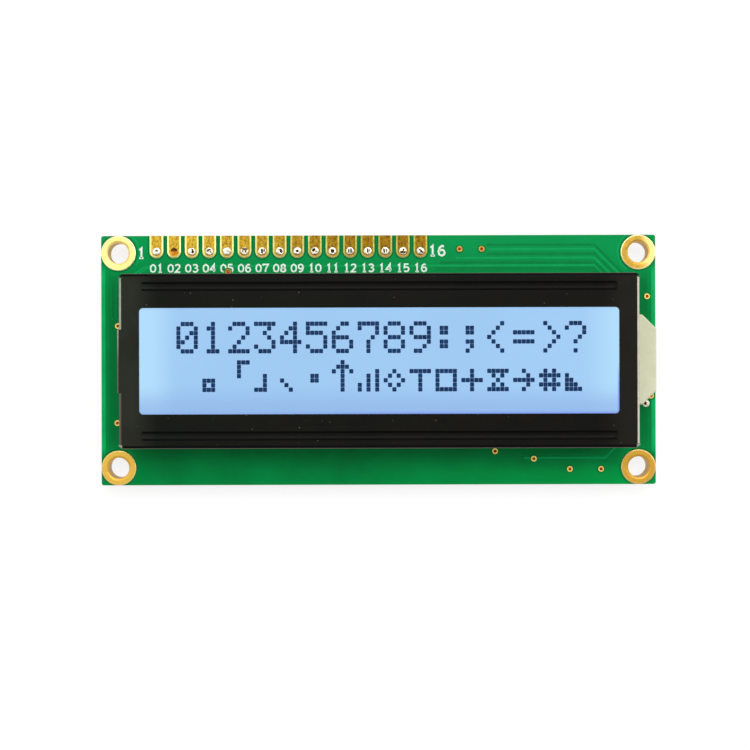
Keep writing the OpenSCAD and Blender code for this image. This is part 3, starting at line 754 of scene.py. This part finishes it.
def add_loops(mesh, loops, closed=True):
    """Skins a stack of point loops, in millimetres, and caps the first and last."""
    rings = [[mesh.verts.new(Vector(p) * MM) for p in loop] for loop in loops]
    for low, high in zip(rings, rings[1:]):
        count = len(low)
        for i in range(count):
            j = (i + 1) % count
            mesh.faces.new((low[i], low[j], high[j], high[i]))
    if closed:
        mesh.faces.new(tuple(reversed(rings[0])))
        mesh.faces.new(tuple(rings[-1]))


def rounded_square(x, y, half_w, half_h, radius, steps):
    """Corner points of a small rounded rectangle about x, y."""
    points = []
    for turn, (sx, sy) in enumerate(((1, 1), (-1, 1), (-1, -1), (1, -1))):
        for k in range(steps + 1):
            a = math.radians(90 * turn + 90 * k / steps)
            points.append(
                (
                    x + sx * (half_w - radius) + radius * math.cos(a),
                    y + sy * (half_h - radius) + radius * math.sin(a),
                )
            )
    return points


def add_ribbon(mesh, path, width, z, rise, slope=0.04):
    """A flat track along a path of points, mitred at its bends, with sloping flanks."""
    path = [Vector((*p, 0)) for p in path]
    lefts = []
    for i, point in enumerate(path):
        ahead = (path[min(i + 1, len(path) - 1)] - point).normalized()
        behind = (point - path[max(i - 1, 0)]).normalized()
        if i == 0:
            behind = ahead
        if i == len(path) - 1:
            ahead = behind
        middle = (ahead + behind).normalized()
        side = Vector((-middle.y, middle.x, 0))
        lefts.append(side / max(0.3, middle.dot(ahead)))
    rows = []
    for point, side in zip(path, lefts):
        low, high = width / 2 + slope, width / 2
        rows.append(
            [
                (*(point + side * low).xy, z),
                (*(point + side * high).xy, z + rise),
                (*(point - side * high).xy, z + rise),
                (*(point - side * low).xy, z),
            ]
        )
    add_loops(mesh, rows)


def add_cap(mesh, x, y, radius, top, thickness, rings, sides):
    """A round cap whose outer face lies at top(dx, dy), with the inner face a thickness away."""
    faces = []
    for offset in (0.0, thickness):
        centre = mesh.verts.new(Vector((x, y, top(0.0, 0.0) - offset)) * MM)
        loops = []
        for ring in range(1, rings + 1):
            r = radius * ring / rings
            loop = []
            for k in range(sides):
                a = 2 * math.pi * k / sides
                dx, dy = r * math.cos(a), r * math.sin(a)
                loop.append(mesh.verts.new(Vector((x + dx, y + dy, top(dx, dy) - offset)) * MM))
            loops.append(loop)
        for k in range(sides):
            mesh.faces.new((centre, loops[0][k], loops[0][(k + 1) % sides]))
        for inner, outer in zip(loops, loops[1:]):
            for k in range(sides):
                j = (k + 1) % sides
                mesh.faces.new((inner[k], outer[k], outer[j], inner[j]))
        faces.append(loops[-1])
    upper, lower = faces
    for k in range(sides):
        j = (k + 1) % sides
        mesh.faces.new((upper[k], upper[j], lower[j], lower[k]))


def shade_smooth(piece):
    """Rounds off the look of a finished piece."""
    for polygon in piece.data.polygons:
        polygon.use_smooth = True


# ---- Characters on the display ----

CHAR_COLUMNS = 16
CHAR_PITCH = 3.595
CHAR_ROWS = 7
LINE_PITCH = 5.35
DOT_PITCH_X = 0.604
DOT_PITCH_Y = (cells_hi.y - cells_lo.y - LINE_PITCH) / 7.9
DOT_HALF_X = 0.288
DOT_HALF_Y = 0.304
DOT_CORNER_R = 0.06
DOT_RISE = 0.004
CELLS_X = (cells_lo.x + cells_hi.x) / 2 + 0.12
CELLS_Y = (cells_lo.y + cells_hi.y) / 2

# Seven rows of five dots each, from the top.
GLYPHS = {
    "0": ".###. #...# #..## #.#.# ##..# #...# .###.",
    "1": "..#.. .##.. ..#.. ..#.. ..#.. ..#.. .###.",
    "2": ".###. #...# ....# ...#. ..#.. .#... #####",
    "3": "##### ...#. ..#.. ...#. ....# #...# .###.",
    "4": "...#. ..##. .#.#. #..#. ##### ...#. ...#.",
    "5": "##### #.... ####. ....# ....# #...# .###.",
    "6": "..##. .#... #.... ####. #...# #...# .###.",
    "7": "##### #...# ....# ...#. ..#.. ..#.. ..#..",
    "8": ".###. #...# #...# .###. #...# #...# .###.",
    "9": ".###. #...# #...# .#### ....# ...#. .##..",
    ":": "..... .##.. .##.. ..... .##.. .##.. .....",
    ";": "..... .##.. .##.. ..... .##.. ..#.. .#...",
    "<": "...#. ..#.. .#... #.... .#... ..#.. ...#.",
    "=": "..... ..... ##### ..... ##### ..... .....",
    ">": ".#... ..#.. ...#. ....# ...#. ..#.. .#...",
    "?": ".###. #...# ....# ...#. ..#.. ..... ..#..",
    "ring": "..... ..... ..... ..... ###.. #.#.. ###..",
    "corner": "..### ..#.. ..#.. ..#.. ..... ..... .....",
    "foot": "..... ..... ..... ..#.. ..#.. ..#.. ###..",
    "slope": "..... ..... ..... ..... #.... .#... ..#..",
    "block": "..... ..... ..... .##.. .##.. ..... .....",
    "up": "..#.. .###. #.#.# ..#.. ..#.. ..#.. ..#..",
    "tee": "..... ..... ##### ..#.. ..#.. ..#.. ..#..",
    "hash": "..... ..... .#.#. ##### .#.#. ##### .#.#.",
    "right": "..... ..... ..#.. ...#. ##### ...#. ..#..",
    "box": "..... ..... ##### #...# #...# #...# #####",
    "gem": "..... ..... ..#.. .#.#. #...# .#.#. ..#..",
    "plus": "..... ..... ..#.. ..#.. ##### ..#.. ..#..",
    "bars": "..... ..... ....# ..#.# ..#.# #.#.# #.#.#",
    "steps": "..... ..... ..... #.... ##... ###.. ####.",
    "glass": "..... ..... ##### .#.#. ..#.. .#.#. #####",
}
UPPER_LINE = [*"0123456789:;<=>?"]
LOWER_LINE = [
    None, "ring", "corner", "foot", "slope", "block", "up", "bars",
    "gem", "tee", "box", "plus", "glass", "right", "hash", "steps",
]


def make_characters():
    mesh = bmesh.new()
    z = cells_hi.z + 0.001
    for line, names in enumerate((UPPER_LINE, LOWER_LINE)):
        for column, name in enumerate(names):
            if name is None:
                continue
            middle_x = CELLS_X + (column - (CHAR_COLUMNS - 1) / 2) * CHAR_PITCH
            middle_y = CELLS_Y + (0.5 - line) * LINE_PITCH + DOT_PITCH_Y / 2
            for row, dots in enumerate(GLYPHS[name].split()):
                for place, mark in enumerate(dots):
                    if mark != "#":
                        continue
                    x = middle_x + (place - 2) * DOT_PITCH_X
                    y = middle_y + (CHAR_ROWS // 2 - row) * DOT_PITCH_Y
                    outline = rounded_square(x, y, DOT_HALF_X, DOT_HALF_Y, DOT_CORNER_R, steps=1)
                    add_loops(mesh, [[(*p, z + h) for p in outline] for h in (0.0, DOT_RISE)])
    piece_from(mesh, "lit_characters", DOTS)


make_characters()


# ---- White print: plain pin numbers ----

# Strokes on a grid four wide and six high, from the lower left.
STROKES = {
    "0": [[(2, 0), (0.4, 1), (0, 3), (0.4, 5), (2, 6), (3.6, 5), (4, 3), (3.6, 1), (2, 0)]],
    "1": [[(0.9, 4.9), (2.1, 6), (2.1, 0)], [(0.8, 0), (3.4, 0)]],
    "2": [[(0.2, 4.9), (0.9, 5.8), (2, 6), (3.3, 5.6), (3.7, 4.5), (3.2, 3.2), (0.2, 0), (4, 0)]],
    "3": [[(0.3, 5.3), (1.4, 6), (3, 5.8), (3.7, 4.6), (3, 3.4), (1.7, 3.1)],
          [(3, 3.2), (4, 1.8), (3.2, 0.4), (1.7, 0), (0.2, 0.8)]],
    "4": [[(3, 0), (3, 6), (0, 1.9), (4.2, 1.9)]],
    "5": [[(3.7, 6), (0.7, 6), (0.4, 3.2), (2, 3.7), (3.5, 3.2), (4, 1.8), (3.2, 0.4), (1.7, 0),
           (0.2, 0.7)]],
    "6": [[(3.5, 5.6), (2.2, 6), (0.8, 4.9), (0.1, 2.6), (0.6, 0.7), (2, 0), (3.5, 0.6), (3.9, 1.9),
           (3.3, 3.2), (2, 3.6), (0.5, 2.9)]],
    "7": [[(0.1, 5), (0.1, 6), (4, 6), (2.2, 2.6), (1.8, 0)]],
    "8": [[(2, 3.2), (0.6, 4), (0.5, 5.2), (2, 6), (3.5, 5.2), (3.4, 4), (2, 3.2), (0.3, 2.2),
           (0.3, 0.8), (2, 0), (3.7, 0.8), (3.7, 2.2), (2, 3.2)]],
    "9": [[(0.5, 0.4), (1.8, 0), (3.2, 1.1), (3.9, 3.4), (3.4, 5.3), (2, 6), (0.5, 5.4), (0.1, 4.1),
           (0.7, 2.8), (2, 2.4), (3.5, 3.1)]],
}
PIN_TEXT = (1.08, 0.2)  # height and stroke
END_TEXT = (1.4, 0.26)
PIN_TEXT_Y = 13.3


def add_number(mesh, text, x, y, size, facing=1):
    """Digits centred on x, y; facing -1 prints them on the back of the board."""
    height, stroke = size
    grid = height / 6
    advance = 5.6 * grid
    start = x - facing * (advance * (len(text) - 1) + 4 * grid) / 2
    z, rise = (BOARD_T, INK_T) if facing > 0 else (0.0, -INK_T)
    for place, digit in enumerate(text):
        for line in STROKES[digit]:
            path = [
                (start + facing * (place * advance + px * grid), y - height / 2 + py * grid)
                for px, py in line
            ]
            add_ribbon(mesh, path, stroke, z, rise, 0.01)


def make_front_print():
    mesh = bmesh.new()
    for pin in range(PIN_COUNT):
        x = PIN_X0 + PIN_PITCH * pin
        add_number(mesh, f"{pin + 1:02d}", x, PIN_TEXT_Y, PIN_TEXT)
    add_number(mesh, "1", -34.2, 15.5, END_TEXT)
    add_number(mesh, "16", 8.5, 15.75, END_TEXT)
    piece_from(mesh, "front_print", PRINT)


make_front_print()


# ---- Tracks, gaps and vias under the lacquer ----


def add_arc(mesh, x, y, radius, start, end, width, z, rise):
    """A curved track from one angle to another, in degrees."""
    steps = max(6, round(abs(end - start) / 7))
    path = []
    for k in range(steps + 1):
        a = math.radians(start + (end - start) * k / steps)
        path.append((x + radius * math.cos(a), y + radius * math.sin(a)))
    add_ribbon(mesh, path, width, z, rise)


def make_front_tracks():
    """Gaps between copper areas, a little darker than the lacquer, and tracks, a little lighter."""
    gaps, tracks = bmesh.new(), bmesh.new()

    def gap(path, width):
        add_ribbon(gaps, path, width, BOARD_T, GAP_RISE)

    def track(path, width):
        add_ribbon(tracks, path, width, BOARD_T, TRACK_RISE)

    # Along the upper edge, turning down towards the right-hand end of the bezel
    turn_x = 31.2
    for y, start, width in (
        (16.6, 15.7, 0.3), (15.3, 15.7, 0.34), (14.05, 8.9, 0.36), (13.15, 8.2, 0.46)
    ):
        drop = y - 12.3
        gap([(start, y), (turn_x, y), (turn_x + drop, y - drop)], width)
    for y, start in ((15.95, 15.9), (14.7, 11.2), (13.6, -25.6)):
        drop = y - 12.4
        track([(start, y), (turn_x, y), (turn_x + drop, y - drop)], 0.2)
    # Under the lower edge of the bezel, rising to the right-hand ring
    gap([(22.0, -14.75), (33.0, -14.75), (35.1, -12.65)], 0.3)
    track([(21.0, -14.2), (32.7, -14.2), (34.4, -12.5)], 0.16)
    gap([(24.0, -13.65), (32.3, -13.65), (33.5, -12.45)], 0.24)
    # From the upper left-hand ring down beside the bezel, and slanted ends beside the first pad
    for x in (-38.6, -37.9):
        gap([(x, 11.5), (x, 6.2), (x + 0.3, 5.9)], 0.14)
    for shift in (0.0, 0.6):
        track([(-35.2 + shift, 12.5), (-33.9 + shift, 13.4), (-32.8 + shift, 13.6)], 0.13)
    # Round the mounting rings
    add_arc(tracks, -MOUNT_X, MOUNT_Y, 3.05, -35, 50, 0.16, BOARD_T, TRACK_RISE)
    add_arc(tracks, MOUNT_X, MOUNT_Y, 2.95, 130, 235, 0.13, BOARD_T, TRACK_RISE)
    add_arc(gaps, -MOUNT_X, -MOUNT_Y, 2.75, -40, 60, 0.18, BOARD_T, GAP_RISE)
    add_arc(gaps, MOUNT_X, -MOUNT_Y, 2.75, 120, 215, 0.18, BOARD_T, GAP_RISE)
    piece_from(gaps, "front_gaps", LACQUER_DARK)
    piece_from(tracks, "front_tracks", LACQUER_LIGHT)


def make_via_trim():
    """The lacquer reaches over each via's land; brown resin closes the hole, lacquer its back."""
    collars, eyes = bmesh.new(), bmesh.new()
    collar = (
        (0.41, LAND_Z), (0.42, LAND_Z + 0.014), (0.52, LAND_Z + 0.01), (0.6, BOARD_T)
    )  # radius and height, from the hole outwards
    sides = 28
    turns = [2 * math.pi * k / sides for k in range(sides)]

    def eye_z(dx, dy):
        return LAND_Z + 0.015 - 0.09 * max(0.0, 1 - math.hypot(dx, dy) / 0.17)

    def back_z(dx, dy):
        return BACK_LAND_Z - 0.012 + 0.06 * max(0.0, (math.hypot(dx, dy) - 0.5) / 0.08)

    for x, y in VIAS:
        loops = [
            [(x + radius * math.cos(a), y + radius * math.sin(a), z) for a in turns]
            for radius, z in collar
        ]
        add_loops(collars, loops + loops[:1], closed=False)
        add_cap(eyes, x, y, 0.23, eye_z, 0.04, rings=4, sides=20)
        add_cap(collars, x, y, 0.58, back_z, -0.01, rings=6, sides=24)
    bmesh.ops.remove_doubles(collars, verts=collars.verts, dist=1e-7)
    piece_from(collars, "via_collars", LACQUER_VIA)
    shade_smooth(piece_from(eyes, "via_eyes", VIA_EYE))


def make_back_tracks():
    """Tracks from the pads to the two chips, between the chips and down to the resistors."""
    tracks = bmesh.new()
    overlap = 0.4  # how far a track runs on under a dome

    def run(path, width):
        add_ribbon(tracks, path, width, 0.0, -BACK_TRACK_RISE)

    def edge_y(x, centre):
        return math.sqrt(DOME_R**2 - (x - centre) ** 2) - overlap

    for group, centre, spacing in ((range(0, 11), -DOME_X, 0.95), (range(11, 16), DOME_X, 1.1)):
        middle = (group[0] + group[-1]) / 2
        for pin in group:
            x = PIN_X0 + PIN_PITCH * pin
            target = centre + (pin - middle) * spacing
            rank = (pin - group[0]) if x < target else (group[-1] - pin)
            level = 12.75 + 0.42 * min(rank, 4)
            bend = 0.5 if x < target else -0.5
            if abs(target - x) < 1.2:
                bend = (target - x) / 2
            corners = [
                (x, level + abs(bend)), (x + bend, level),
                (target - bend, level), (target, level - abs(bend)),
            ]
            run([(x, PIN_Y - 0.7), *corners, (target, edge_y(target, centre))], 0.26)
    for k in range(9):
        y = 2.0 - 0.75 * k
        inset = DOME_X - math.sqrt(DOME_R**2 - y * y) + overlap
        run([(-inset, y), (inset, y)], 0.22)
    for k in (-4, -3, -2, -1, 1, 2, 3, 4):
        side = 1 if k > 0 else -1
        x = k * CHIP_PITCH
        inner = side * (DOME_X - 3.6 + 0.9 * abs(k))
        drop = -7.5 - 0.32 * (4 - abs(k))
        end = (inner, -edge_y(inner, side * DOME_X))
        run([(x, -8.7), (x, drop), (inner, drop + 0.1), end], 0.2)
    piece_from(tracks, "back_tracks", LACQUER_LIGHT)


def make_back_print():
    """Plain pin numbers at both ends of the row and a ring round each resin dome."""
    mesh = bmesh.new()
    add_number(mesh, "1", -34.2, 15.5, END_TEXT, facing=-1)
    add_number(mesh, "16", 8.9, 15.75, END_TEXT, facing=-1)
    for x in (-DOME_X, DOME_X):
        add_arc(mesh, x, 0.0, DOME_R + 0.45, 0, 360, 0.22, -BACK_TRACK_RISE, -INK_T)
    piece_from(mesh, "back_print", PRINT)


make_front_tracks()
make_via_trim()
make_back_tracks()
make_back_print()


# ---- Solder wetted onto the pin lands ----

PIT_GROWTH = 1.4
# For each filled hole: the pits' x, y, half sizes, turn in degrees and depth.
PITS = {
    1: [(0.02, 0.04, 0.2, 0.12, 35, 0.12)],
    3: [(0.16, -0.06, 0.14, 0.2, 0, 0.36), (0.1, 0.24, 0.12, 0.08, 0, 0.2)],
    4: [(-0.1, 0.14, 0.3, 0.09, 35, 0.26), (0.16, -0.12, 0.14, 0.06, 60, 0.2)],
    5: [(0.12, -0.1, 0.1, 0.06, 0, 0.1)],
    6: [(0.04, 0.3, 0.36, 0.1, 0, 0.3), (0.16, -0.02, 0.1, 0.2, 0, 0.22),
        (-0.24, 0.0, 0.06, 0.2, 0, 0.2)],
    7: [(0.0, -0.02, 0.12, 0.28, 0, 0.4), (0.3, 0.12, 0.08, 0.2, 0, 0.3)],
    8: [(0.2, 0.02, 0.15, 0.26, 12, 0.36), (-0.12, 0.16, 0.08, 0.08, 0, 0.2)],
    9: [(0.0, 0.0, 0.16, 0.16, 0, 0.3)],
    10: [(-0.16, 0.16, 0.22, 0.14, 40, 0.38), (0.18, -0.12, 0.08, 0.1, 0, 0.16)],
    11: [(0.0, -0.02, 0.2, 0.2, 0, 0.42)],
    12: [(-0.18, 0.0, 0.08, 0.26, 0, 0.26), (0.14, 0.02, 0.1, 0.28, 0, 0.28)],
    13: [(0.02, 0.0, 0.09, 0.3, 0, 0.3), (0.3, 0.04, 0.06, 0.2, 0, 0.24)],
    14: [(-0.16, 0.02, 0.1, 0.28, 6, 0.3), (0.2, 0.0, 0.07, 0.24, 0, 0.22)],
    15: [(0.0, -0.22, 0.3, 0.14, 0, 0.38), (0.1, 0.16, 0.1, 0.1, 0, 0.24)],
    16: [(0.16, -0.12, 0.26, 0.09, -40, 0.38), (-0.2, 0.16, 0.08, 0.08, 0, 0.2)],
}


def make_solder_rims():
    """An uneven bead of solder over each filled hole, with the pits that flux left in it."""
    mesh = bmesh.new()
    bead_r, wetted_r, skin_t = 0.68, 0.585, 0.05
    places = [(PIN_X0 + PIN_PITCH * (pin - 1), PIN_Y, 1.0, pits) for pin, pits in PITS.items()]
    places.append((*SPARE_LAND, 0.8, [(-0.14, 0.02, 0.16, 0.2, 10, 0.4)]))
    for x, y, size, pits in places:
        for face in (1, -1):
            level = LAND_Z if face > 0 else BACK_LAND_Z

            def top(dx, dy, face=face, level=level, pits=pits, size=size, seed=x):
                r = math.hypot(dx, dy)
                ragged = noise.noise(Vector((dx / (r + 0.01), dy / (r + 0.01), seed)))
                edge = size * (wetted_r + 0.06 * ragged)
                swell = 0.1 * (1 - min(1.6, r / edge) ** 4)
                lumps = 0.035 * noise.noise(Vector((dx * 4, dy * 4, seed)))
                sink = 0.0
                for px, py, half_x, half_y, turn, depth in pits:
                    c, s = math.cos(math.radians(turn)), math.sin(math.radians(turn))
                    across = ((dx - px) * c + (dy - py) * s) / (PIT_GROWTH * half_x)
                    along = ((dy - py) * c - (dx - px) * s) / (PIT_GROWTH * half_y)
                    sink = max(sink, depth * (1 - across * across - along * along))
                return level + face * (swell - sink + lumps * (r < edge * 0.9))

            add_cap(mesh, x, y, bead_r * size, top, face * skin_t, rings=12, sides=32)
    shade_smooth(piece_from(mesh, "pin_solder_rims", SOLDER))


def make_flux_plug():
    """The flux skin in the open hole, hung a little below the land."""
    mesh = bmesh.new()
    x = PIN_X0 + PIN_PITCH * (OPEN_PIN - 1)

    def top(dx, dy):
        r = math.hypot(dx, dy)
        ripple = 0.03 * noise.noise(Vector((dx * 3, dy * 3, 5)))
        return BOARD_T - 0.1 + 0.14 * (r / PIN_HOLE_R) ** 3 + ripple

    add_cap(mesh, x, PIN_Y, PIN_HOLE_R + 0.02, top, 0.25, rings=8, sides=28)
    shade_smooth(piece_from(mesh, "flux_plug", FLUX))


make_solder_rims()
make_flux_plug()


# ---- Floor, light and camera ----

FLOOR_GLOW = 0.80
WORLD_LIGHT = 0.43


def make_floor():
    """A white ground just below the object, whose own glow is only seen and mirrored."""
    data = bpy.data.meshes.new("floor")
    half = 1.5
    z = cad_bounds[0][2] - 0.02 * MM
    corners = [(-half, -half, z), (half, -half, z), (half, half, z), (-half, half, z)]
    data.from_pydata(corners, [], [(0, 1, 2, 3)])
    floor = bpy.data.objects.new("floor", data)
    bpy.context.scene.collection.objects.link(floor)
    s = Surface("floor_white")
    path = s.add("ShaderNodeLightPath").outputs
    mirrored = s.math("MAXIMUM", path["Is Glossy Ray"], path["Is Transmission Ray"])
    seen = s.math("MAXIMUM", path["Is Camera Ray"], mirrored)
    s.finish(
        Base_Color=linear(130, 130, 130),
        Roughness=0.9,
        Specular_IOR_Level=0.0,
        Emission_Color=(1, 1, 1, 1),
        Emission_Strength=s.math("MULTIPLY", seen, FLOOR_GLOW),
    )
    data.materials.append(s.material)


def make_world():
    """White round about: full white where it is seen or mirrored, dimmer as a light."""
    world = bpy.data.worlds.new("studio")
    bpy.context.scene.world = world
    world.use_nodes = True
    tree = world.node_tree
    back = tree.nodes["Background"]
    path = tree.nodes.new("ShaderNodeLightPath").outputs
    seen = path["Is Camera Ray"]
    for name in ("Is Glossy Ray", "Is Transmission Ray"):
        node = tree.nodes.new("ShaderNodeMath")
        node.operation = "MAXIMUM"
        tree.links.new(seen, node.inputs[0])
        tree.links.new(path[name], node.inputs[1])
        seen = node.outputs[0]
    level = tree.nodes.new("ShaderNodeMapRange")
    level.inputs["To Min"].default_value = WORLD_LIGHT
    level.inputs["To Max"].default_value = 1.0
    tree.links.new(seen, level.inputs["Value"])
    tree.links.new(level.outputs["Result"], back.inputs["Strength"])
    back.inputs["Color"].default_value = (1, 1, 1, 1)


def add_sun(name, towards, strength, width):
    """A broad, even light from a direction; width is its angle in degrees."""
    light = bpy.data.lights.new(name, "SUN")
    light.energy = strength
    light.angle = math.radians(width)
    lamp = bpy.data.objects.new(name, light)
    lamp.rotation_euler = Vector(towards).to_track_quat("Z", "Y").to_euler()
    bpy.context.scene.collection.objects.link(lamp)


def make_camera():
    """Straight above the board, a little left of its middle, as the photograph was taken."""
    data = bpy.data.cameras.new("camera")
    data.sensor_width = 36.0
    data.lens = 44.68
    data.shift_x = 0.0167
    data.shift_y = -0.0384
    data.clip_start = 0.01
    camera = bpy.data.objects.new("camera", data)
    camera.location = (-0.0023, 0.0020, 0.136)
    camera.rotation_euler = (0, 0, math.radians(-0.15))
    bpy.context.scene.collection.objects.link(camera)
    bpy.context.scene.camera = camera


make_floor()
make_world()
add_sun("key_from_top", (0.1, 0.6, 1.0), 1.62, 45)
add_sun("side_from_right", (1.0, 0.3, 0.5), 0.9, 30)
add_sun("fill_from_left", (-0.9, 0.2, 0.8), 0.45, 40)
make_camera()
bpy.context.scene.view_settings.view_transform = "Standard"
